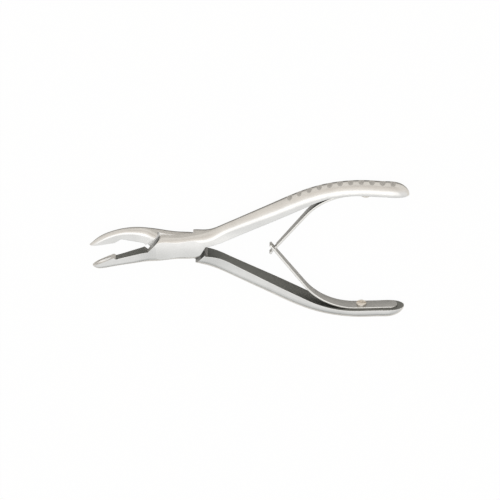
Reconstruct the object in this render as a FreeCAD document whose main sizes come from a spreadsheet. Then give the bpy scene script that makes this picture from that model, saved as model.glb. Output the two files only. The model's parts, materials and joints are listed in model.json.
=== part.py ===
import FreeCAD, Part
import Sketcher
import math
import os
import re
from FreeCAD import Placement, Rotation, Vector

# Bone rongeur: two forged halves crossing at a lap joint, a joint screw, and a pair of
# interlocking leaf springs, each held to its handle by one screw.
# Millimetres. Z is the pivot axis, X runs towards the handles, and the far cheek is at Z = 0.
# Each half is drawn in the frame it has when the jaws are shut, and is then turned open.

SIZES = {
    # lap joint
    "joint_thickness": 9.0,
    "joint_top": 6.2,
    "joint_top_right": 6.3,
    "joint_bottom": 4.4,
    "joint_bottom_right": 4.9,
    "joint_round": 2.3,
    "joint_reach": 8.5,
    "joint_left": 8.5,
    "cheek_grind": 0.12,
    "lap_clearance": 0.06,
    "left_root_gap": 1.0,
    "left_foot_gap": 2.2,
    "right_root_gap": 0.35,
    "right_foot_gap": 0.5,
    "plate_left_top": 7.5,
    "plate_left_root": 13.4,
    "plate_right_root": 12.9,
    "plate_right_foot": 7.7,
    "plate_span": 6.1,
    "crotch_rise": 0.75,
    "open_half_angle": 7.75,
    # handles
    "neck_thickness": 6.2,
    "grip_thickness": 8.5,
    "neck_x": 21.0,
    "neck_back": 6.45,
    "flare_start": 18.1,
    "flare_blend": 24.0,
    "flare_angle": 20.2,
    "back_flare_angle": 19.6,
    "grip_angle": 10.2,
    "back_grip_angle": 11.0,
    "grip_length": 32.1,
    "seat_lead": 11.3,
    "back_bend_radius": 65.8,
    "flare_depth": 5.65,
    "grip_depth": 5.15,
    "back_round_share": 0.47,
    "handle_length": 104.8,
    "handle_nose": 6.3,
    # finger grooves
    "groove_lead": 2.0,
    "groove_pitch": 4.65,
    "groove_count": 11,
    "groove_radius": 1.8,
    "groove_depth": 0.5,
    # jaws
    "jaw_length": 38.5,
    "jaw_nose": 4.0,
    "root_width": 5.9,
    "root_x": 14.0,
    "cup_width": 4.0,
    "cup_start": 25.0,
    "bite_x": 28.5,
    "bite_drop": 1.35,
    "bite_angle": 18.4,
    "bite_clearance": 0.06,
    "upper_heel_lead": 0.9,
    "upper_back_radius": 30.5,
    "upper_back_crest": 7.3,
    "upper_back_x": 14.5,
    "upper_relief": 1.45,
    "lower_back_angle": 4.0,
    "lower_back_root": 5.2,
    "lower_relief": 0.5,
    "lower_relief_angle": 10.8,
    "lower_relief_x": 27.6,
    "scoop_middle": 33.4,
    "scoop_length": 8.2,
    "scoop_width": 3.1,
    "scoop_depth": 1.7,
    "lower_jaw_blank": 2.4,
    "upper_jaw_blank": 3.4,
    # joint screw
    "pivot_diameter": 4.6,
    "pivot_fit": 0.04,
    "thread_diameter": 3.6,
    "thread_length": 3.0,
    "thread_fit": 0.02,
    "pivot_head_diameter": 6.6,
    "pivot_head_height": 1.5,
    "pivot_head_recess": 0.15,
    "pivot_head_gap": 0.1,
    "pivot_slot_width": 1.0,
    "pivot_slot_depth": 0.8,
    "pivot_slot_turn": 35.0,
    "pivot_head_chamfer": 0.2,
    "pivot_foot_chamfer": 0.4,
    "pivot_hole_spare": 0.5,
    # leaf springs
    "leaf_thickness": 0.9,
    "leaf_width": 5.6,
    "leaf_end_gap": 3.2,
    "leaf_crossing": 43.0,
    "leaf_angle": 52.7,
    "leaf_overrun": 2.8,
    "leaf_broad_length": 22.0,
    "leaf_seat_gap": 0.02,
    "tongue_width": 1.6,
    "tongue_length": 3.2,
    "tongue_head_width": 2.8,
    "slotted_tip_width": 3.3,
    "slot_clearance": 0.3,
    "leaf_end_land": 0.05,
    # spring screws
    "spring_screw_setback": 1.9,
    "spring_screw_diameter": 2.6,
    "spring_screw_depth": 3.4,
    "spring_head_diameter": 4.5,
    "spring_head_height": 1.1,
    "spring_slot_width": 0.8,
    "spring_slot_depth": 0.55,
    "spring_screw_fit": 0.05,
    "spring_hole_spare": 0.3,
    "spring_head_chamfer": 0.25,
    "spring_foot_chamfer": 0.3,
}

doc = FreeCAD.newDocument("bone_rongeur")
sheet = doc.addObject("Spreadsheet::Sheet", "sizes")
for row, (name, size) in enumerate(SIZES.items(), start=1):
    sheet.set(f"A{row}", name)
    sheet.set(f"B{row}", str(size))
    sheet.setAlias(f"B{row}", name)
doc.recompute()


def linked(text):
    """Turn size names in a formula into references to the sheet."""
    return re.sub(r"[a-z][a-z_]+", lambda found: "sizes." + found.group()
                  if found.group() in SIZES else found.group(), str(text))


def value(text):
    """Work out a formula of sizes."""
    return float(sheet.evalExpression(linked(text)))


def origin_item(body, role):
    """Find one of a body's own origin planes or axes."""
    return next(item for item in body.Origin.OriginFeatures if item.Role == role)


def new_sketch(body, name, role, offset="0"):
    """Put a sketch on an origin plane of the body, moved along the plane's normal."""
    sketch = body.newObject("Sketcher::SketchObject", name)
    sketch.AttachmentSupport = [(origin_item(body, role), "")]
    sketch.MapMode = "FlatFace"
    sketch.setExpression("AttachmentOffset.Base.z", linked(offset))
    return sketch


def hold(sketch, kind, *place, formula):
    """Add one driving dimension and tie it to its formula."""
    number = sketch.addConstraint(Sketcher.Constraint(kind, *place, value(formula)))
    sketch.renameConstraint(number, f"size{number}")
    sketch.setExpression(f"Constraints.size{number}", linked(formula))


def draw_outline(sketch, corners):
    """Draw a closed outline of straight sides; a third entry rounds that corner."""
    spots = [Vector(value(corner[0]), value(corner[1]), 0) for corner in corners]
    rounds = [value(corner[2]) if len(corner) > 2 else 0.0 for corner in corners]
    count = len(corners)
    arrive, leave, centres = [], [], []
    for index, spot in enumerate(spots):
        back = (spots[index - 1] - spot).normalize()
        ahead = (spots[(index + 1) % count] - spot).normalize()
        half = back.getAngle(ahead) / 2
        reach = rounds[index] / math.tan(half) if rounds[index] else 0.0
        arrive.append(spot + back * reach)
        leave.append(spot + ahead * reach)
        centres.append(spot + (back + ahead).normalize() * (rounds[index] / math.sin(half))
                       if rounds[index] else None)
    sides = [sketch.addGeometry(Part.LineSegment(leave[index], arrive[(index + 1) % count]), False)
             for index in range(count)]
    for index in range(count):
        before, after = sides[index - 1], sides[index]
        if not rounds[index]:
            sketch.addConstraint(Sketcher.Constraint("Coincident", before, 2, after, 1))
            hold(sketch, "DistanceX", -1, 1, after, 1, formula=corners[index][0])
            hold(sketch, "DistanceY", -1, 1, after, 1, formula=corners[index][1])
            continue
        crown = centres[index] + (spots[index] - centres[index]).normalize() * rounds[index]
        arc = sketch.addGeometry(Part.Arc(arrive[index], crown, leave[index]), False)
        first = 1 if sketch.getPoint(arc, 1).distanceToPoint(arrive[index]) < 1e-6 else 2
        sketch.addConstraint(Sketcher.Constraint("Tangent", before, 2, arc, first))
        sketch.addConstraint(Sketcher.Constraint("Tangent", arc, 3 - first, after, 1))
        hold(sketch, "Radius", arc, formula=corners[index][2])
        corner = sketch.addGeometry(Part.Point(spots[index]), True)
        sketch.addConstraint(Sketcher.Constraint("PointOnObject", corner, 1, before))
        sketch.addConstraint(Sketcher.Constraint("PointOnObject", corner, 1, after))
        hold(sketch, "DistanceX", -1, 1, corner, 1, formula=corners[index][0])
        hold(sketch, "DistanceY", -1, 1, corner, 1, formula=corners[index][1])


def pocket(body, sketch, length=None, upward=False):
    """Cut a sketch out of the body: through all of it, or to a depth."""
    cut = body.newObject("PartDesign::Pocket", sketch.Name + "_cut")
    cut.Profile = sketch
    if length is None:
        cut.Type = "ThroughAll"
        cut.SideType = "Symmetric"
    else:
        cut.Type = "Length"
        cut.setExpression("Length", linked(length))
        cut.Reversed = upward
    return cut


# Formulas of one handle, drawn on the +Y side: inner face, back, and the round bend between.
INNER_BEND_X = "(handle_length - grip_length)"
INNER_BEND_Y = f"(crotch_rise + ({INNER_BEND_X} - flare_start) * tan(flare_angle))"
INNER_GRIP = f"({INNER_BEND_Y} - (%s - {INNER_BEND_X}) * tan(grip_angle))"
BACK_FLARE_Y = f"({INNER_BEND_Y} + flare_depth / cos(back_flare_angle))"
BACK_GRIP_Y = f"({INNER_BEND_Y} + grip_depth / cos(back_grip_angle))"
BACK_CORNER = f"(({BACK_GRIP_Y} - {BACK_FLARE_Y}) / (tan(back_flare_angle) + tan(back_grip_angle)))"
INNER_TURN = "(tan((flare_angle + grip_angle) / 2))"
SEAT_START = f"({INNER_BEND_X} + seat_lead)"
INNER_BEND_RADIUS = f"(seat_lead / (cos(grip_angle) * {INNER_TURN}))"
SCREW_X = f"({SEAT_START} + spring_screw_setback)"
BACK_TILT = "((back_flare_angle - back_grip_angle) / 2)"
BACK_REACH = f"(back_bend_radius / cos((back_flare_angle + back_grip_angle) / 2))"
BEND_X = f"({INNER_BEND_X} + {BACK_CORNER} + {BACK_REACH} * sin({BACK_TILT}))"
BEND_Y = f"({BACK_FLARE_Y} + {BACK_CORNER} * tan(back_flare_angle) - {BACK_REACH} * cos({BACK_TILT}))"
BEND_END = f"({BEND_X} + back_bend_radius * sin(back_grip_angle))"
BACK_FLARE = f"({BACK_FLARE_Y} - ({INNER_BEND_X} - %s) * tan(back_flare_angle))"
BACK_GRIP = f"({BACK_GRIP_Y} - (%s - {INNER_BEND_X}) * tan(back_grip_angle))"
INNER_FLARE = f"({INNER_BEND_Y} - ({INNER_BEND_X} - %s) * tan(flare_angle))"
LEAF_END = "(handle_length - leaf_end_gap)"
PLATE_OVER = "(plate_span * 1.6)"
PLATE_BACK = "(-plate_span * 1.6)"
PLATE_LEFT = "(-plate_left_root + (%s) * (plate_left_root - plate_left_top) / plate_span)"
PLATE_RIGHT = ("(plate_right_root - (%s + crotch_rise) * (plate_right_root - plate_right_foot)"
               " / (plate_span + crotch_rise))")
SHOULDER_LEFT = ("(-plate_left_root - left_root_gap + (%s) * (plate_left_root - plate_left_top"
                 " - left_foot_gap + left_root_gap) / plate_span)")
SHOULDER_RIGHT = ("(plate_right_root + right_root_gap - (%s + crotch_rise) * (plate_right_root"
                  " - plate_right_foot - right_foot_gap + right_root_gap)"
                  " / (plate_span + crotch_rise))")
BITE_LINE = "(-bite_drop - (%s - bite_x) * tan(bite_angle))"

# How far cuts and blanks run past the metal that they trim, millimetres.
MARGIN = 2.0
JAW_MARGIN = 8
NOSE_MARGIN = 20
SIDE_MARGIN = 10
FAR_SIDE = "60"
CHEEK_REACH = "40"
CHEEK_STOCK = "2"

# Shapes of the sections, as shares of a length or a width.
NOSE_SHARES = (0.985, 0.9, 0.75, 0.55, 0.3)
FLARE_STEPS = (0.72, 0.45, 0.2, 0.0)
BEND_TURNS = (1.0, 0.67, 0.33, 0.0)
FAR_BACK_SHARE = 0.6
JAW_TAPER = 0.6
JAW_BACK_ROUND = 0.85
JAW_EDGE_ROUND = 0.4
INNER_ROUND = "1.0"


def nose_fall(share):
    """How much of the section is left at a share of a rounded end."""
    return f"{math.sqrt(1 - share * share):.4f}"


def handle_stations():
    """Sections of a handle from nose to neck: X, inner side, back, half width, back round."""
    rows = []
    for share in NOSE_SHARES:
        place = f"(handle_length - handle_nose * {1 - share:.3f})"
        fall = nose_fall(share)
        face = INNER_GRIP % place
        rows.append((place, f"({face} - {MARGIN} * {fall})",
                     f"({face} + ({BACK_GRIP % place} - {face}) * {fall})",
                     f"(grip_thickness / 2 * {fall})",
                     f"(grip_thickness * back_round_share * {fall})"))
    place = f"(({BEND_END} + handle_length - handle_nose) / 2)"
    rows.append((place, f"({INNER_GRIP % place} - {MARGIN})", BACK_GRIP % place,
                 "(grip_thickness / 2)", "(grip_thickness * back_round_share)"))
    for turn in BEND_TURNS:
        angle = f"(back_flare_angle * {1 - turn} - back_grip_angle * {turn})"
        place = f"({BEND_X} - back_bend_radius * sin({angle}))"
        back = f"({BEND_Y} + back_bend_radius * cos({angle}))"
        rows.append((place, f"({back} - flare_depth - {MARGIN} * 1.5)", back,
                     "(grip_thickness / 2)", "(grip_thickness * back_round_share)"))
    start, end = "neck_x", f"({BEND_X} - back_bend_radius * sin(back_flare_angle))"
    for step in FLARE_STEPS:
        place = f"({start} + ({end} - {start}) * {step})"
        swell = 0.5 - 0.5 * math.cos(math.pi * step)
        width = f"(neck_thickness + (grip_thickness - neck_thickness) * {swell:.3f})"
        rows.append((place, f"({INNER_FLARE % place} - {MARGIN})", BACK_FLARE % place,
                     f"({width} / 2)", f"({width} * back_round_share)"))
    return rows


def add_section(body, name, station):
    """Draw one rounded section across the forging."""
    place, low, low_round, high, high_round, half = station
    sketch = new_sketch(body, name, "YZ_Plane", place)
    middle = "joint_thickness / 2"
    bottom, top = f"{middle} - {half}", f"{middle} + {half}"
    draw_outline(sketch, [(low, bottom, low_round), (high, bottom, high_round),
                          (high, top, high_round), (low, top, low_round)])
    return sketch


def jaw_rows(back, face):
    """Sections of a jaw from root to tip: X, back, bite side, half width, back round."""
    rows = []
    middle_width = f"(root_width * {1 - JAW_TAPER} + cup_width * {JAW_TAPER})"
    for place, half in (("root_x", "root_width / 2"),
                        ("((root_x + cup_start) / 2)", f"{middle_width} / 2"),
                        ("cup_start", "cup_width / 2"),
                        ("((cup_start + jaw_length - jaw_nose) / 2)", "cup_width / 2"),
                        ("(jaw_length - jaw_nose)", "cup_width / 2")):
        rows.append((place, back % place, face % place, f"({half})", f"({half} * {JAW_BACK_ROUND})"))
    for share in reversed(NOSE_SHARES):
        place = f"(jaw_length - jaw_nose * {1 - share:.3f})"
        fall = nose_fall(share)
        bite = BITE_LINE % place
        rows.append((place, f"({bite} + ({back % place} - {bite}) * {fall})",
                     f"({bite} + ({face % place} - {bite}) * {fall})",
                     f"(cup_width / 2 * {fall})", f"(cup_width / 2 * {JAW_BACK_ROUND} * {fall})"))
    return rows


def forge_half(body, prefix, side, back, face):
    """Loft one forging from handle nose to jaw tip; side is 1 for the upper handle."""
    stations = []
    for place, inner, outer, half, rounded in handle_stations():
        if side > 0:
            stations.append((place, inner, INNER_ROUND + " * 2 * " + half + " / grip_thickness",
                             outer, rounded, half))
        else:
            stations.append((place, f"-{outer}", rounded, f"-{inner}",
                             INNER_ROUND + " * 2 * " + half + " / grip_thickness", half))
    cheek = "(joint_thickness / 2 + cheek_grind)"
    neck = f"(({cheek} + neck_thickness / 2) / 2)"
    neck_round = "(neck_thickness / 2)"
    far_back = f"(joint_bottom * {FAR_BACK_SHARE})"
    if side > 0:
        low, low_round, high, high_round = f"-{far_back}", INNER_ROUND, "neck_back", neck_round
    else:
        low, low_round, high, high_round = "-neck_back", neck_round, far_back, INNER_ROUND
    stations.append(("((joint_reach + neck_x) / 2)", low, low_round, high, high_round, neck))
    for place, bottom, top in (("joint_reach", "-joint_bottom_right", "joint_top_right"),
                               ("(joint_reach - joint_left) / 2", "-joint_bottom", "joint_top"),
                               ("-joint_left", "-joint_bottom", "joint_top")):
        stations.append((place, bottom, "joint_round", top, "joint_round", cheek))
    for place, outer, inner, half, rounded in jaw_rows(back, face):
        edge = f"({JAW_EDGE_ROUND} * {half})"
        if side > 0:
            stations.append((f"-{place}", outer, rounded, inner, edge, half))
        else:
            stations.append((f"-{place}", inner, edge, outer, rounded, half))
    sketches = [add_section(body, f"{prefix}_section_{number}", station)
                for number, station in enumerate(stations)]
    loft = body.newObject("PartDesign::AdditiveLoft", prefix + "_forging")
    loft.Profile = sketches[0]
    loft.Sections = sketches[1:]
    return loft


def trim_gaps(body, prefix, side, jaw_gap):
    """Cut the open space beside the handle, and the space between the jaws."""
    sign = "" if side > 0 else "-"
    end = f"(handle_length + {NOSE_MARGIN})"
    foot = f"({PLATE_RIGHT % PLATE_OVER})"
    gap = new_sketch(body, prefix + "_handle_gap", "XY_Plane")
    outline = [(foot, f"{sign}(-{PLATE_OVER})"), ("plate_right_root", f"{sign}crotch_rise"),
               ("flare_start", f"{sign}crotch_rise", "flare_blend"),
               (INNER_BEND_X, f"{sign}{INNER_BEND_Y}", INNER_BEND_RADIUS),
               (end, f"{sign}{INNER_GRIP % end}"),
               (end, f"{sign}(-{FAR_SIDE})"), (foot, f"{sign}(-{FAR_SIDE})")]
    draw_outline(gap, outline)
    pocket(body, gap)
    bite = new_sketch(body, prefix + "_jaw_gap", "XY_Plane")
    draw_outline(bite, jaw_gap)
    pocket(body, bite)


def grind_cheeks(body, prefix):
    """Flatten both cheeks of the joint to its thickness."""
    end = f"handle_length + {SIDE_MARGIN}"
    wide = [(f"-{CHEEK_REACH}", f"-{CHEEK_REACH}"), (end, f"-{CHEEK_REACH}"),
            (end, CHEEK_REACH), (f"-{CHEEK_REACH}", CHEEK_REACH)]
    for name, offset, upward in (("near", "joint_thickness", True), ("far", "0", False)):
        sketch = new_sketch(body, f"{prefix}_{name}_cheek", "XY_Plane", offset)
        draw_outline(sketch, wide)
        pocket(body, sketch, CHEEK_STOCK, upward)


def cut_lap(body, prefix, side):
    """Recess one half for the other half's plate, between two slanting shoulders."""
    sign = "" if side > 0 else "-"
    corners = [(SHOULDER_LEFT % PLATE_OVER, f"{sign}(-{PLATE_OVER})"),
               (SHOULDER_RIGHT % PLATE_BACK, f"{sign}(-{PLATE_OVER})"),
               (SHOULDER_RIGHT % PLATE_OVER, f"{sign}{PLATE_OVER}"),
               (SHOULDER_LEFT % PLATE_BACK, f"{sign}{PLATE_OVER}")]
    sketch = new_sketch(body, prefix + "_lap", "XY_Plane", "0" if side > 0 else "joint_thickness")
    draw_outline(sketch, corners)
    pocket(body, sketch, "(joint_thickness + lap_clearance) / 2", side > 0)


def screw_place(side):
    """Where a spring screw stands on its handle: on the inner face, looking outwards."""
    face = value(INNER_GRIP % SCREW_X)
    middle = value("joint_thickness / 2")
    tilt = value("grip_angle")
    spot = Vector(value(SCREW_X), side * face, middle)
    outward = Vector(math.sin(math.radians(tilt)), side * math.cos(math.radians(tilt)), 0)
    return spot, outward


def cylinder(name, radius, height, place):
    """A plain cylinder with its sizes on the sheet."""
    item = doc.addObject("Part::Cylinder", name)
    item.setExpression("Radius", linked(radius))
    item.setExpression("Height", linked(height))
    item.Placement = place
    return item


def groove_cutters():
    """Cylinders across the back of the upper handle, an even pitch apart along it."""
    cutters = []
    flare, grip = math.radians(value("back_flare_angle")), math.radians(value("back_grip_angle"))
    radius = value("back_bend_radius")
    centre = Vector(value(BEND_X), value(BEND_Y), 0)
    bend_length = radius * (flare + grip)
    lift = value("groove_radius - groove_depth")
    for number in range(int(value("groove_count"))):
        along = number * value("groove_pitch") - value("groove_lead")
        turn = flare - min(max(along, 0), bend_length) / radius
        up = Vector(-math.sin(turn), math.cos(turn), 0)
        ahead = Vector(math.cos(turn), math.sin(turn), 0)
        extra = along - min(max(along, 0), bend_length)
        spot = centre + up * (radius + lift) + ahead * extra
        spot.z = -MARGIN
        cutters.append(cylinder(f"groove_{number + 1}", "groove_radius",
                                f"joint_thickness + 2 * {MARGIN}", Placement(spot, Rotation())))
    return cutters


def scoop(name):
    """The hollow of a cup, on the bite line."""
    item = doc.addObject("Part::Ellipsoid", name)
    item.setExpression("Radius1", linked("scoop_width / 2"))
    item.setExpression("Radius2", linked("scoop_length / 2"))
    item.setExpression("Radius3", linked("scoop_depth"))
    tilt = value("bite_angle")
    spot = Vector(-value("scoop_middle"), value(BITE_LINE % "scoop_middle"),
                  value("joint_thickness / 2"))
    item.Placement = Placement(spot, Rotation(Vector(0, 0, 1), tilt))
    return item


def finish(name, base, cutters, placement):
    """Cut the small features out of a forging and give the piece its place."""
    tool = doc.addObject("Part::MultiFuse", name + "_cutters")
    tool.Shapes = cutters
    piece = doc.addObject("Part::Cut", name + "_piece")
    piece.Base, piece.Tool = base, tool
    piece.Label = name
    piece.Placement = placement
    return piece


def turned(side):
    """The turn that opens one half."""
    return Placement(Vector(), Rotation(Vector(0, 0, 1), side * value("open_half_angle")))


def make_half(name, side):
    """One forged half: handle, plate and jaw."""
    prefix = "upper" if side > 0 else "lower"
    body = doc.addObject("PartDesign::Body", prefix + "_body")
    top = PLATE_OVER
    top_x = PLATE_LEFT % PLATE_OVER
    tip = f"(jaw_length + {JAW_MARGIN})"
    if side > 0:
        back = "(-lower_back_root - (%s - root_x) * tan(lower_back_angle))"
        face = "(lower_jaw_blank - (%s - root_x) * tan(bite_angle / 2))"
        relief = "(lower_relief - (lower_relief_x - plate_left_root) * tan(lower_relief_angle))"
        heel_y = f"({BITE_LINE % 'bite_x'} - bite_clearance / 2)"
        gap = [(top_x, top), (PLATE_LEFT % "lower_relief", "lower_relief"), ("-lower_relief_x", relief),
               ("-bite_x", heel_y),
               (f"-{tip}", f"({BITE_LINE % tip} - bite_clearance / 2)"), (f"-{tip}", top)]
    else:
        back = ("(upper_back_crest - upper_back_radius + sqrt(upper_back_radius^2"
                " - (%s - upper_back_x)^2))")
        face = "(-upper_jaw_blank - (%s - root_x) * tan(bite_angle / 2))"
        root_x = PLATE_LEFT % "-upper_relief"
        heel = "(bite_x - upper_heel_lead)"
        gap = [(top_x, f"-{top}"), (root_x, "upper_relief"), ("-cup_start", "upper_relief"),
               (f"-{heel}", f"({BITE_LINE % heel} + bite_clearance / 2)"),
               (f"-{tip}", f"({BITE_LINE % tip} + bite_clearance / 2)"), (f"-{tip}", f"-{top}")]
    forge_half(body, prefix, side, back, face)
    trim_gaps(body, prefix, side, gap)
    grind_cheeks(body, prefix)
    cut_lap(body, prefix, side)
    doc.recompute()
    cutters = [scoop(prefix + "_scoop")]
    spot, outward = screw_place(side)
    cutters.append(cylinder(prefix + "_spring_hole", "spring_screw_diameter / 2 + thread_fit",
                            "spring_screw_depth + spring_hole_spare",
                            Placement(spot, Rotation(Vector(0, 0, 1), outward))))
    if side > 0:
        cutters.append(cylinder("pivot_thread", "thread_diameter / 2 + thread_fit",
                                "thread_length + 2 * pivot_hole_spare",
                                Placement(Vector(0, 0, value("joint_thickness / 2 - pivot_hole_spare")),
                                          Rotation())))
        cutters.extend(groove_cutters())
    else:
        cutters.append(cylinder("pivot_bore", "pivot_diameter / 2 + pivot_fit", "joint_thickness",
                                Placement()))
        cutters.append(cylinder("pivot_seat", "pivot_head_diameter / 2 + pivot_head_gap",
                                f"pivot_head_height + pivot_head_recess + {MARGIN}",
                                Placement(Vector(0, 0, -MARGIN), Rotation())))
    return finish(name, body, cutters, turned(side))


def make_leaf(name, side):
    """One leaf spring, bent from strip: a clamped end, a bend, a straight run past the crossing."""
    body = doc.addObject("PartDesign::Body", name)
    sign = "" if side > 0 else "-"
    cross_x = "(leaf_crossing * cos(open_half_angle))"
    cross_y = "(-leaf_crossing * sin(open_half_angle))"
    slope = "(leaf_angle - open_half_angle)"
    bend = f"(({slope} + grip_angle) / 2)"
    seat = f"({INNER_GRIP % '0'} - (leaf_seat_gap + leaf_thickness * %s) / cos(grip_angle))"
    corners = []
    radius = None
    for share in (0, 1):
        line = seat % share
        shift = f"((0.5 - {share}) * leaf_thickness / cos({slope}))"
        rise = f"({cross_y} + {shift})"
        corner_x = f"(({line} - {rise} + {cross_x} * tan({slope})) / (tan({slope}) + tan(grip_angle)))"
        if share == 0:
            radius = f"(({SEAT_START} - {corner_x}) / (cos(grip_angle) * tan({bend})))"
        else:
            radius = f"({radius} - leaf_thickness)"
        tip_x = (f"({cross_x} - leaf_overrun * cos({slope})"
                 f" - (0.5 - {share}) * leaf_thickness * sin({slope}))")
        tip_y = (f"({cross_y} - leaf_overrun * sin({slope})"
                 f" + (0.5 - {share}) * leaf_thickness * cos({slope}))")
        end_x = f"({LEAF_END} + (0.5 - {share}) * leaf_thickness * sin(grip_angle))"
        run = [(end_x, f"{sign}({line} - {end_x} * tan(grip_angle))"),
               (corner_x, f"{sign}({line} - {corner_x} * tan(grip_angle))", radius),
               (tip_x, f"{sign}{tip_y}")]
        corners.extend(run if share == 0 else reversed(run))
    strip = new_sketch(body, name + "_strip", "XY_Plane", "joint_thickness / 2")
    draw_outline(strip, corners)
    pad = body.newObject("PartDesign::Pad", name + "_band")
    pad.Profile = strip
    pad.SideType = "Symmetric"
    pad.setExpression("Length", linked(f"leaf_width + {MARGIN}"))
    middle = "joint_thickness / 2"
    level = "cos(" + slope + ")"
    tip = f"({cross_x} - (leaf_overrun + {MARGIN}) * {level})"
    start, stop = f"({cross_x} - tongue_length / 2 * {level})", f"({cross_x} + tongue_length / 2 * {level})"
    round_end = "(leaf_width / 2 - leaf_end_land)"
    blank = new_sketch(body, name + "_blank", "XZ_Plane")
    run_out = f"({LEAF_END} - leaf_broad_length)"
    halves = {"upper": [(tip, "tongue_head_width / 2"), (start, "tongue_head_width / 2"),
                        (start, "tongue_width / 2"), (stop, "tongue_width / 2"),
                        (stop, "tongue_head_width / 2")],
              "lower": [(tip, "slotted_tip_width / 2"), (stop, "slotted_tip_width / 2")]}
    edge = halves["upper" if side > 0 else "lower"]
    flank = edge + [(run_out, "leaf_width / 2"), (LEAF_END, "leaf_width / 2", round_end)]
    outline = [(spot[0], f"{middle} + {spot[1]}") + spot[2:] for spot in flank]
    outline += [(spot[0], f"{middle} - {spot[1]}") + spot[2:] for spot in reversed(flank)]
    draw_outline(blank, outline)
    end, low, high = f"handle_length + {SIDE_MARGIN}", f"-{SIDE_MARGIN}", f"joint_thickness + {SIDE_MARGIN}"
    draw_outline(blank, [("0", low), (end, low), (end, high), ("0", high)])
    pocket(body, blank)
    if side < 0:
        slot = new_sketch(body, name + "_slot", "XZ_Plane")
        half = "(tongue_width / 2 + slot_clearance)"
        draw_outline(slot, [(start, f"{middle} - {half}"), (stop, f"{middle} - {half}"),
                            (stop, f"{middle} + {half}"), (start, f"{middle} + {half}")])
        pocket(body, slot)
    doc.recompute()
    spot, outward = screw_place(side)
    hole = cylinder(name + "_hole", "spring_screw_diameter / 2 + spring_screw_fit", f"2 * {MARGIN}",
                    Placement(spot - outward * MARGIN, Rotation(Vector(0, 0, 1), outward)))
    piece = doc.addObject("Part::Cut", name + "_piece")
    piece.Base, piece.Tool = body, hole
    body.Label = name + "_body"
    piece.Label = name
    piece.Placement = turned(side)
    return piece


def turn_screw(name, profile, slot_width, slot_depth, top):
    """A slotted screw: its half profile turned about Z, then the driver slot cut across the head."""
    body = doc.addObject("PartDesign::Body", name)
    sketch = new_sketch(body, name + "_profile", "XZ_Plane")
    draw_outline(sketch, profile)
    turn = body.newObject("PartDesign::Revolution", name + "_turned")
    turn.Profile = sketch
    turn.ReferenceAxis = (origin_item(body, "Z_Axis"), [""])
    turn.Angle = 360
    slot = new_sketch(body, name + "_slot", "XY_Plane", top)
    reach = str(SIDE_MARGIN)
    draw_outline(slot, [(f"-{reach}", f"-{slot_width} / 2"), (reach, f"-{slot_width} / 2"),
                        (reach, f"{slot_width} / 2"), (f"-{reach}", f"{slot_width} / 2")])
    pocket(body, slot, slot_depth)
    return body


def make_joint_screw():
    """The pivot: slotted head in the far cheek, plain journal in one plate, thread in the other."""
    head, journal, thread = "pivot_head_diameter / 2", "pivot_diameter / 2", "thread_diameter / 2"
    seat = "(-pivot_head_recess - pivot_head_height)"
    shoulder = "(-joint_thickness / 2 - lap_clearance / 2)"
    foot = f"({shoulder} - thread_length)"
    profile = [("0", "-pivot_head_recess"), (f"{head} - pivot_head_chamfer", "-pivot_head_recess"),
               (head, "(-pivot_head_recess - pivot_head_chamfer)"), (head, seat), (journal, seat),
               (journal, shoulder), (thread, shoulder), (thread, f"{foot} + pivot_foot_chamfer"),
               (f"{thread} - pivot_foot_chamfer", foot), ("0", foot)]
    body = turn_screw("joint_screw", profile, "pivot_slot_width", "pivot_slot_depth",
                      "-pivot_head_recess")
    spin = Rotation(Vector(0, 0, 1), value("pivot_slot_turn"))
    body.Placement = turned(1) * Placement(Vector(), Rotation(Vector(1, 0, 0), 180) * spin)
    return body


def make_spring_screw(name, side):
    """A cheese-head screw that clamps a leaf to its handle."""
    head, shank = "spring_head_diameter / 2", "spring_screw_diameter / 2"
    under = "(leaf_seat_gap * 2 + leaf_thickness)"
    top = f"({under} + spring_head_height)"
    depth = "(-spring_screw_depth)"
    profile = [("0", depth), (f"{shank} - spring_foot_chamfer", depth),
               (shank, f"{depth} + spring_foot_chamfer"), (shank, under), (head, under),
               (head, f"{top} - spring_head_chamfer"), (f"{head} - spring_head_chamfer", top), ("0", top)]
    body = turn_screw(name, profile, "spring_slot_width", "spring_slot_depth", top)
    spot, outward = screw_place(side)
    stand = Rotation(Vector(0, 0, 1), outward * -1)
    body.Placement = turned(side) * Placement(spot, stand)
    return body


pieces = [
    make_half("upper_handle_half", 1),
    make_half("lower_handle_half", -1),
    make_joint_screw(),
    make_leaf("upper_leaf_spring", 1),
    make_leaf("lower_leaf_spring", -1),
    make_spring_screw("upper_spring_screw", 1),
    make_spring_screw("lower_spring_screw", -1),
]
doc.recompute()

faults = [item.Name for item in doc.Objects if {"Invalid", "Error"} & set(item.State)]
if faults:
    raise RuntimeError("failed objects: " + ", ".join(faults))
for piece in pieces:
    shape = piece.Shape
    if shape.isNull() or not shape.isValid() or len(shape.Solids) != 1:
        raise RuntimeError("bad shape: " + piece.Label)

os.makedirs("parts", exist_ok=True)
for piece in pieces:
    piece.Shape.exportStep(f"parts/{piece.Label}.step")
    print(piece.Label, round(piece.Shape.Volume, 2), "mm3")
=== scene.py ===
import json
import math

import bpy
from mathutils import Matrix, Vector

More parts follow.
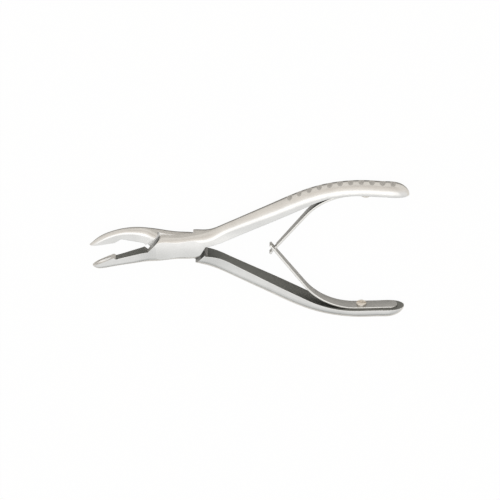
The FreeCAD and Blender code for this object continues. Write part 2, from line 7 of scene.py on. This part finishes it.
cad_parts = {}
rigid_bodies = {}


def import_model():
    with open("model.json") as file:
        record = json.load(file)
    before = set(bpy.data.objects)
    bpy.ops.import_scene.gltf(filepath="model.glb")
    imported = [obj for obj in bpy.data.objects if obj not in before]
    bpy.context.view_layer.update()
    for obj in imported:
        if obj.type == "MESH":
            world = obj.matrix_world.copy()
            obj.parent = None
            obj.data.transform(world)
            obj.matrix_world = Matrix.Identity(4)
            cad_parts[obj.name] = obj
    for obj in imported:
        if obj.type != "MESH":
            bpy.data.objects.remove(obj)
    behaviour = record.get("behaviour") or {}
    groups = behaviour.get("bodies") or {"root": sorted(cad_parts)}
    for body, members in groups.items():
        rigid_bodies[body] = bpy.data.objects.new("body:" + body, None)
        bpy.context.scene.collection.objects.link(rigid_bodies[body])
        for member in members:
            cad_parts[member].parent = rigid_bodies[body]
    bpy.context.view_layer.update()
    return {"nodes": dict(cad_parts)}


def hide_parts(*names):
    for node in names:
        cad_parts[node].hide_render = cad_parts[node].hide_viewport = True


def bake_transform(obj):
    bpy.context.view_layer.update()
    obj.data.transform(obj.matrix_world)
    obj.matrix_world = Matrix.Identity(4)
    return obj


bpy.ops.object.select_all(action="SELECT")
bpy.ops.object.delete()
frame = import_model()
scene = bpy.context.scene
scene.view_settings.view_transform = "Standard"
mm = 0.001
print("frame loaded:", ", ".join(sorted(frame["nodes"])))


# the photograph's view
view = {"slant": 32.0, "roll": 0.78, "acrossMm": 32.34, "upMm": -1.42, "midHeightMm": 4.5, "widthMm": 221.5,
        "lens": 200.0, "sensor": 36.0, "clipM": (0.05, 20.0)}


def placeCamera():
    slant, roll = math.radians(view["slant"]), math.radians(view["roll"])
    towards = Vector((0, math.sin(slant), math.cos(slant)))
    flatUp = Vector((0, math.cos(slant), -math.sin(slant)))
    right = Vector((1, 0, 0)) * math.cos(roll) + flatUp * math.sin(roll)
    up = flatUp * math.cos(roll) - Vector((1, 0, 0)) * math.sin(roll)
    aim = Vector((0, 0, view["midHeightMm"])) + right * view["acrossMm"] + up * view["upMm"]
    away = view["widthMm"] * view["lens"] / view["sensor"]
    turn = Matrix((right, up, towards)).transposed()
    bpy.ops.object.camera_add()
    camera = bpy.context.object
    camera.name = "photoCamera"
    camera.data.lens = view["lens"]
    camera.data.sensor_width = view["sensor"]
    camera.data.clip_start, camera.data.clip_end = view["clipM"]
    camera.matrix_world = Matrix.Translation((aim + towards * away) * mm) @ turn.to_4x4()
    scene.camera = camera


placeCamera()
print("camera placed")


# a socket takes a number, a colour or the output of another node
def feed(tree, socket, source):
    if isinstance(source, (int, float)):
        socket.default_value = source
    elif isinstance(source, tuple):
        socket.default_value = (*source, 1)
    else:
        tree.links.new(source, socket)


def addNode(tree, kind, **settings):
    node = tree.nodes.new(kind)
    for key, setting in settings.items():
        setattr(node, key, setting)
    return node


def addMath(tree, operation, *sources):
    node = addNode(tree, "ShaderNodeMath", operation=operation)
    for socket, source in zip(node.inputs, sources):
        feed(tree, socket, source)
    return node.outputs[0]


def times(tree, first, second):
    return addMath(tree, "MULTIPLY", first, second)


def larger(tree, first, second):
    return addMath(tree, "MAXIMUM", first, second)


def above(tree, source, limit):
    return addMath(tree, "GREATER_THAN", source, limit)


def below(tree, source, limit):
    return addMath(tree, "LESS_THAN", source, limit)


def size(tree, source):
    return addMath(tree, "ABSOLUTE", source)


def splitVector(tree, source):
    node = addNode(tree, "ShaderNodeSeparateXYZ")
    feed(tree, node.inputs[0], source)
    return node.outputs


def mapRange(tree, source, low, high, toLow=0.0, toHigh=1.0):
    node = addNode(tree, "ShaderNodeMapRange")
    for label, number in (("From Min", low), ("From Max", high), ("To Min", toLow), ("To Max", toHigh)):
        node.inputs[label].default_value = number
    feed(tree, node.inputs["Value"], source)
    return node.outputs["Result"]


def mixColours(tree, share, first, second):
    node = addNode(tree, "ShaderNodeMix", data_type="RGBA")
    for label, source in (("A", first), ("B", second)):
        feed(tree, next(item for item in node.inputs if item.name == label and item.type == "RGBA"), source)
    feed(tree, node.inputs["Factor"], share)
    return next(item for item in node.outputs if item.type == "RGBA")


def newGroup(name, inputs, outputs):
    group = bpy.data.node_groups.new(name, "ShaderNodeTree")
    for way, sockets in (("INPUT", inputs), ("OUTPUT", outputs)):
        for label, kind in sockets.items():
            group.interface.new_socket(label, in_out=way, socket_type="NodeSocket" + kind)
    return group, group.nodes.new("NodeGroupInput").outputs, group.nodes.new("NodeGroupOutput").inputs


def placeGroup(tree, group, **sources):
    node = addNode(tree, "ShaderNodeGroup", node_tree=group)
    for label, source in sources.items():
        feed(tree, node.inputs[label], source)
    return node


# fine lines left by the grinding belt, and the broader clouds of a hand-finished surface
grinding = {"lineDetail": 4, "lineRoughness": 0.65, "cloudScale": 140.0, "cloudDetail": 3, "middle": (0.3, 0.7)}


def makeGrindingLines():
    group, given, put = newGroup("grindingLines", {"Vector": "Vector", "Along": "Float", "Across": "Float"},
                                 {"Height": "Float", "Tone": "Float"})
    stretch = addNode(group, "ShaderNodeCombineXYZ")
    for axis, label in (("X", "Along"), ("Y", "Across"), ("Z", "Across")):
        feed(group, stretch.inputs[axis], given[label])
    place = addNode(group, "ShaderNodeVectorMath", operation="MULTIPLY")
    feed(group, place.inputs[0], given["Vector"])
    feed(group, place.inputs[1], stretch.outputs[0])
    lines = addNode(group, "ShaderNodeTexNoise")
    for label, source in (("Scale", 1), ("Detail", grinding["lineDetail"]), ("Roughness", grinding["lineRoughness"]),
                          ("Vector", place.outputs[0])):
        feed(group, lines.inputs[label], source)
    clouds = addNode(group, "ShaderNodeTexNoise")
    for label, source in (("Scale", grinding["cloudScale"]), ("Detail", grinding["cloudDetail"]),
                          ("Vector", given["Vector"])):
        feed(group, clouds.inputs[label], source)
    feed(group, put["Height"], lines.outputs["Fac"])
    feed(group, put["Tone"], mapRange(group, clouds.outputs["Fac"], *grinding["middle"]))
    return group


# a soft break at every edge, and a mask of the edges, which are brightened as edge wear and as a painted highlight
brokenEdge = {"samples": 6, "match": (0.985, 0.85)}


def makeSoftEdge():
    group, given, put = newGroup("softEdge", {"Reach": "Float"}, {"Normal": "Vector", "Mask": "Float"})
    broken = addNode(group, "ShaderNodeBevel", samples=brokenEdge["samples"])
    feed(group, broken.inputs["Radius"], given["Reach"])
    plain = addNode(group, "ShaderNodeNewGeometry")
    match = addNode(group, "ShaderNodeVectorMath", operation="DOT_PRODUCT")
    feed(group, match.inputs[0], broken.outputs[0])
    feed(group, match.inputs[1], plain.outputs["Normal"])
    feed(group, put["Normal"], broken.outputs[0])
    feed(group, put["Mask"], mapRange(group, match.outputs["Value"], *brokenEdge["match"]))
    return group


# how deep a spot lies in a groove, slot or corner, for a painted shade that darkens these recesses
recessShading = {"samples": 8, "openness": (0.985, 0.9)}


def makePaintedRecessShade():
    group, given, put = newGroup("paintedRecessShade", {"Reach": "Float"}, {"Mask": "Float"})
    openness = addNode(group, "ShaderNodeAmbientOcclusion", samples=recessShading["samples"], only_local=True)
    feed(group, openness.inputs["Distance"], given["Reach"])
    feed(group, put["Mask"], mapRange(group, openness.outputs["AO"], *recessShading["openness"]))
    return group


# Mask: the flat faces inside a handle, on a jaw's relief and on the joint's shoulders, darker as their ground finish
# and further as a painted dark reflection.
# Low: the undersides and outer flanks, darkened as a painted dark reflection. Reached: the cups and shoulders, where
# the edge brightening and the painted recess shade are held back.
zones = {"levelZ": 0.2, "inwardsY": 0.8, "handleFromMm": 13.5, "reliefMm": (-27.2, -12.2), "cupToMm": -26.2,
         "shoulderX": 0.58, "shoulderReachMm": 20.5, "shoulderShare": 0.5, "lowZ": (0.03, -0.12),
         "underZ": (-0.85, -0.65), "outerY": (-0.62, -0.88), "outerFromMm": (-22.0, -12.0)}


def makeGroundFacesAndDarkReflection():
    group, given, put = newGroup("groundFacesAndDarkReflection", {"Vector": "Vector", "Normal": "Vector", "Inwards": "Float"},
                                 {"Mask": "Float", "PaintedDarkReflection": "Float", "Reached": "Float"})
    spot, lean = splitVector(group, given["Vector"]), splitVector(group, given["Normal"])
    inwards = times(group, lean["Y"], given["Inwards"])
    onHandle = times(group, above(group, inwards, zones["inwardsY"]),
                     above(group, spot["X"], zones["handleFromMm"] * mm))
    reliefFrom, reliefTo = zones["reliefMm"]
    onRelief = times(group, above(group, spot["X"], reliefFrom * mm), below(group, spot["X"], reliefTo * mm))
    onJaw = times(group, below(group, inwards, -zones["inwardsY"]), onRelief)
    onShoulder = times(group, above(group, size(group, lean["X"]), zones["shoulderX"]),
                       below(group, size(group, spot["X"]), zones["shoulderReachMm"] * mm))
    onShoulder = times(group, onShoulder, zones["shoulderShare"])
    flat = larger(group, larger(group, onHandle, onJaw), onShoulder)
    level = below(group, size(group, lean["Z"]), zones["levelZ"])
    feed(group, put["Mask"], times(group, flat, level))
    # painted dark reflection: the undersides and the outer flanks are darkened
    lower = times(group, mapRange(group, lean["Z"], *zones["lowZ"]), mapRange(group, lean["Z"], *zones["underZ"]))
    paintedFlankReflection = times(group, mapRange(group, lean["Y"], *zones["outerY"]),
                  mapRange(group, spot["X"], *(place * mm for place in zones["outerFromMm"])))
    feed(group, put["PaintedDarkReflection"], larger(group, lower, paintedFlankReflection))
    inCup = below(group, spot["X"], zones["cupToMm"] * mm)
    feed(group, put["Reached"], larger(group, onShoulder, inCup))
    return group


# the slight crown that mopping leaves across the joint's cheeks, in millimetres of height
crownFadeMm = (-19.0, -11.0)


def makeCrown():
    group, given, put = newGroup("crown", {"Vector": "Vector", "Reach": "Float", "Rise": "Float"},
                                 {"Height": "Float"})
    spot = splitVector(group, given["Vector"])
    share = addMath(group, "DIVIDE", size(group, spot["Y"]), given["Reach"])
    wave = addMath(group, "COSINE", times(group, addMath(group, "MINIMUM", share, 1.0), math.pi))
    height = times(group, wave, times(group, given["Rise"], 0.5))
    onJoint = mapRange(group, spot["X"], *(place * mm for place in crownFadeMm))
    feed(group, put["Height"], times(group, height, onJoint))
    return group


grindingLines, softEdge, paintedRecessShade = makeGrindingLines(), makeSoftEdge(), makePaintedRecessShade()
groundFacesAndDarkReflection, crown = makeGroundFacesAndDarkReflection(), makeCrown()


def newMaterial(name, metallic=1.0):
    material = bpy.data.materials.new(name)
    material.use_nodes = True
    tree = material.node_tree
    shader = tree.nodes["Principled BSDF"]
    shader.inputs["Metallic"].default_value = metallic
    return material, tree, shader


def startSteel(name, look):
    material, tree, shader = newMaterial(name)
    where = addNode(tree, "ShaderNodeTexCoord").outputs
    lines = placeGroup(tree, grindingLines, Vector=where["Object"], Along=look["along"], Across=look["across"])
    edge = placeGroup(tree, softEdge, Reach=look["edgeReachMm"] * mm)
    rough = mapRange(tree, lines.outputs["Height"], *grinding["middle"], look["roughLow"], look["roughHigh"])
    return material, tree, shader, where, lines.outputs, edge, rough


def finishSurface(tree, shader, look, height, normal):
    bump = addNode(tree, "ShaderNodeBump")
    for label, source in (("Strength", look["bumpStrength"]), ("Distance", look["bumpMm"] * mm),
                          ("Height", height), ("Normal", normal)):
        feed(tree, bump.inputs[label], source)
    feed(tree, shader.inputs["Normal"], bump.outputs[0])


# ground is the ground finish darkened further as a painted dark reflection; low is a painted dark reflection
forging = {"polished": (0.79, 0.78, 0.76), "cloudy": (0.73, 0.72, 0.70), "groundAndDarkReflection": (0.2, 0.205, 0.195),
           "edge": (0.92, 0.91, 0.89), "paintedRecessShade": (0.27, 0.265, 0.255), "low": (0.2, 0.2, 0.19),
           "roughLow": 0.25, "roughHigh": 0.34, "groundRough": 0.45, "recessShadeReachMm": 1.5,
           "crownReachMm": 11.0, "crownMm": 0.7,
           "along": 260.0, "across": 9000.0, "edgeReachMm": 0.28, "bumpStrength": 0.12, "bumpMm": 0.02}


def makeForgedSteel(name, inwards):
    material, tree, shader, where, lines, edge, rough = startSteel(name, forging)
    groundAndDarkReflection = placeGroup(tree, groundFacesAndDarkReflection, Vector=where["Object"], Normal=where["Normal"], Inwards=inwards).outputs
    plain = addMath(tree, "SUBTRACT", 1.0, groundAndDarkReflection["Reached"])
    feed(tree, edge.inputs["Reach"], times(tree, plain, forging["edgeReachMm"] * mm))
    # painted shade darkens grooves, slots and corners, except in the cups and on the shoulders
    paintedRecessShadeMask = placeGroup(tree, paintedRecessShade, Reach=forging["recessShadeReachMm"] * mm).outputs["Mask"]
    colour = mixColours(tree, lines["Tone"], forging["polished"], forging["cloudy"])
    # the edge colour brightens edges as wear and as a painted highlight, held back in the cups and on the shoulders
    for share, key in ((groundAndDarkReflection["PaintedDarkReflection"], "low"), (groundAndDarkReflection["Mask"], "groundAndDarkReflection"),
                       (times(tree, edge.outputs["Mask"], plain), "edge"), (times(tree, paintedRecessShadeMask, plain), "paintedRecessShade")):
        colour = mixColours(tree, share, colour, forging[key])
    feed(tree, shader.inputs["Base Color"], colour)
    more = times(tree, groundAndDarkReflection["Mask"], forging["groundRough"] - forging["roughLow"])
    feed(tree, shader.inputs["Roughness"], addMath(tree, "ADD", rough, more))
    shape = placeGroup(tree, crown, Vector=where["Object"], Reach=forging["crownReachMm"] * mm,
                       Rise=forging["crownMm"])
    crowned = addNode(tree, "ShaderNodeBump")
    for label, source in (("Distance", mm), ("Height", shape.outputs["Height"]), ("Normal", edge.outputs["Normal"])):
        feed(tree, crowned.inputs[label], source)
    finishSurface(tree, shader, forging, lines["Height"], crowned.outputs[0])
    return material


strip = {"face": (0.44, 0.44, 0.43), "faceCloudy": (0.38, 0.385, 0.38), "sheared": (0.82, 0.80, 0.76),
         "edge": (0.9, 0.89, 0.86), "shearedZ": (0.35, 0.75), "roughLow": 0.26, "roughHigh": 0.36,
         "along": 300.0, "across": 7000.0, "edgeReachMm": 0.1, "bumpStrength": 0.12, "bumpMm": 0.02}


def makeStripSteel():
    material, tree, shader, where, lines, edge, rough = startSteel("springStrip", strip)
    side = mapRange(tree, size(tree, splitVector(tree, where["Normal"])["Z"]), *strip["shearedZ"])
    colour = mixColours(tree, lines["Tone"], strip["face"], strip["faceCloudy"])
    colour = mixColours(tree, side, colour, strip["sheared"])
    # the edge colour brightens the strip's edges as wear and as a painted highlight
    feed(tree, shader.inputs["Base Color"], mixColours(tree, edge.outputs["Mask"], colour, strip["edge"]))
    feed(tree, shader.inputs["Roughness"], rough)
    finishSurface(tree, shader, strip, lines["Height"], edge.outputs["Normal"])
    return material


screw = {"turned": (0.86, 0.81, 0.74), "worn": (0.72, 0.68, 0.62), "edge": (0.93, 0.9, 0.85), "roughLow": 0.16,
         "roughHigh": 0.3, "ringMm": 0.16, "along": 2500.0, "across": 2500.0, "edgeReachMm": 0.08,
         "bumpStrength": 0.25, "bumpMm": 0.015}


# the rings are centred on the screw's own axis, which a Mapping node turns to Z
def makeTurnedSteel(name, centre, axis):
    material, tree, shader, where, lines, edge, rough = startSteel(name, screw)
    toAxis = addNode(tree, "ShaderNodeMapping", vector_type="TEXTURE")
    toAxis.inputs["Location"].default_value = centre
    toAxis.inputs["Rotation"].default_value = Vector(axis).to_track_quat("Z", "Y").to_euler()
    feed(tree, toAxis.inputs["Vector"], where["Object"])
    across = splitVector(tree, toAxis.outputs[0])
    squares = [addMath(tree, "POWER", across[letter], 2.0) for letter in "XY"]
    radius = addMath(tree, "SQRT", addMath(tree, "ADD", *squares))
    ring = addMath(tree, "SINE", times(tree, radius, 2 * math.pi / (screw["ringMm"] * mm)))
    colour = mixColours(tree, lines["Tone"], screw["turned"], screw["worn"])
    # the edge colour brightens the screw's edges as wear and as a painted highlight
    feed(tree, shader.inputs["Base Color"], mixColours(tree, edge.outputs["Mask"], colour, screw["edge"]))
    feed(tree, shader.inputs["Roughness"], rough)
    finishSurface(tree, shader, screw, ring, edge.outputs["Normal"])
    return material


def putOn(piece, material):
    piece.data.materials.clear()
    piece.data.materials.append(material)


springScrewAxis = {"upper": ((0.08263, 0.02988, 0.0045), (0.0428, 0.9991, 0)),
                   "lower": ((0.08263, -0.02988, 0.0045), (0.0428, -0.9991, 0))}
for word, inwards in (("upper", -1.0), ("lower", 1.0)):
    putOn(frame["nodes"][word + "_handle_half"], makeForgedSteel(word + "Forging", inwards))
putOn(frame["nodes"]["joint_screw"], makeTurnedSteel("jointScrewSteel", (0, 0, 0), (0, 0, 1)))
for word, (centre, axis) in springScrewAxis.items():
    putOn(frame["nodes"][word + "_spring_screw"], makeTurnedSteel(word + "ScrewSteel", centre, axis))
print("forgings and screws finished")


# leaf springs: the strip with broken edges, cut many times along its length
blade = {"mergeMm": 0.001, "flatDegrees": 0.4, "edgeMm": 0.1, "edgeSteps": 2, "smoothDegrees": 35,
         "firstCutMm": 42.0, "lastCutMm": 84.0, "cuts": 36, "rootMm": (80.7, 29.96), "pivotMm": (67.5, 26.8)}
springSteel = makeStripSteel()


def makeBlade(word):
    node = word + "_leaf_spring"
    piece = bpy.data.objects.new(word + "LeafBlade", frame["nodes"][node].data.copy())
    scene.collection.objects.link(piece)
    bpy.ops.object.select_all(action="DESELECT")
    piece.select_set(True)
    bpy.context.view_layer.objects.active = piece
    bpy.ops.object.mode_set(mode="EDIT")
    bpy.ops.mesh.select_all(action="SELECT")
    bpy.ops.mesh.customdata_custom_splitnormals_clear()
    bpy.ops.mesh.remove_doubles(threshold=blade["mergeMm"] * mm)
    bpy.ops.mesh.dissolve_limited(angle_limit=math.radians(blade["flatDegrees"]))
    bpy.ops.object.mode_set(mode="OBJECT")
    bevel = piece.modifiers.new("brokenEdges", "BEVEL")
    bevel.width, bevel.segments = blade["edgeMm"] * mm, blade["edgeSteps"]
    bevel.limit_method, bevel.angle_limit = "ANGLE", math.radians(blade["smoothDegrees"])
    bevel.use_clamp_overlap = True
    bpy.ops.object.modifier_apply(modifier=bevel.name)
    bpy.ops.object.mode_set(mode="EDIT")
    for number in range(blade["cuts"]):
        place = blade["firstCutMm"] + (blade["lastCutMm"] - blade["firstCutMm"]) * number / (blade["cuts"] - 1)
        bpy.ops.mesh.select_all(action="SELECT")
        bpy.ops.mesh.bisect(plane_co=(place * mm, 0, 0), plane_no=(1, 0, 0))
    bpy.ops.object.mode_set(mode="OBJECT")
    bpy.ops.object.shade_smooth_by_angle(angle=math.radians(blade["smoothDegrees"]))
    putOn(piece, springSteel)
    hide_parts(node)
    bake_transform(piece)
    print(piece.name, len(piece.data.polygons), "faces")


makeBlade("upper")
makeBlade("lower")
print("leaf springs made")


# floor, world and lamp; the sky runs from the front (0) over the top to the back (1), and fades to both sides
studio = {"floorSize": 3.0, "floorColour": (0.83, 0.8, 0.755), "floorSeen": 0.975, "floorMirrored": 0.12,
          "sky": ((0.0, (0.2, 0.21, 0.21)), (0.05, (0.64, 0.66, 0.66)), (0.13, (0.77, 0.78, 0.78)),
                  (0.25, (0.85, 0.86, 0.865)), (0.36, (1.0, 1.0, 1.0)), (0.6, (1.0, 1.0, 1.0)),
                  (0.8, (0.95, 0.91, 0.86)), (0.93, (0.86, 0.81, 0.75)), (1.0, (0.68, 0.64, 0.6))),
          "skyStrength": 1.08, "fades": ((0.05, 0.28, 0.88), (-0.05, -0.45, 0.95)),
          "lampPlace": (0.03, 0.1, 1.0), "lampAim": (0.03, 0, 0), "lampSize": (1.3, 0.8), "lampWatts": 1.5}


def layFloor():
    bpy.ops.mesh.primitive_plane_add(size=studio["floorSize"], location=(0, 0, 0))
    floor = bpy.context.object
    floor.name = "floor"
    material, tree, shader = newMaterial("paleFloor", metallic=0.0)
    for label, source in (("Base Color", studio["floorColour"]), ("Roughness", 1), ("Specular IOR Level", 0)):
        feed(tree, shader.inputs[label], source)
    white = addNode(tree, "ShaderNodeEmission")
    white.inputs["Strength"].default_value = 1
    path = addNode(tree, "ShaderNodeLightPath").outputs
    seen = times(tree, path["Is Camera Ray"], studio["floorSeen"])
    mirrored = times(tree, addMath(tree, "ADD", path["Is Glossy Ray"], path["Is Transmission Ray"]),
                     studio["floorMirrored"])
    mix = addNode(tree, "ShaderNodeMixShader")
    for number, source in enumerate((larger(tree, seen, mirrored), shader.outputs[0], white.outputs[0])):
        feed(tree, mix.inputs[number], source)
    feed(tree, tree.nodes["Material Output"].inputs["Surface"], mix.outputs[0])
    putOn(floor, material)


def lightWorld():
    world = bpy.data.worlds.new("studioWorld")
    scene.world = world
    world.use_nodes = True
    tree = world.node_tree
    glow = tree.nodes["Background"]
    towards = splitVector(tree, addNode(tree, "ShaderNodeTexCoord").outputs["Generated"])
    sky = addNode(tree, "ShaderNodeValToRGB")
    stops = sky.color_ramp.elements
    while len(stops) < len(studio["sky"]):
        stops.new(0.5)
    for stop, (where, colour) in zip(stops, studio["sky"]):
        stop.position, stop.color = where, (*colour, 1)
    feed(tree, sky.inputs[0], mapRange(tree, towards["Y"], -1.0, 1.0))
    seen = addNode(tree, "ShaderNodeLightPath").outputs["Is Camera Ray"]
    feed(tree, glow.inputs["Color"], mixColours(tree, seen, sky.outputs["Color"], (1.0, 1.0, 1.0)))
    fades = [mapRange(tree, towards["X"], near, far, 1.0, least) for near, far, least in studio["fades"]]
    lit = larger(tree, times(tree, *fades), seen)
    feed(tree, glow.inputs["Strength"], times(tree, lit, studio["skyStrength"]))


def addSoftBox():
    bpy.ops.object.light_add(type="AREA", location=studio["lampPlace"])
    lamp = bpy.context.object
    lamp.name = "overheadSoftBox"
    lamp.data.shape = "RECTANGLE"
    lamp.data.size, lamp.data.size_y = studio["lampSize"]
    lamp.data.energy = studio["lampWatts"]
    aim = Vector(studio["lampAim"]) - Vector(studio["lampPlace"])
    lamp.rotation_euler = aim.to_track_quat("-Z", "Y").to_euler()


layFloor()
lightWorld()
addSoftBox()
print("floor, world and lamp placed")
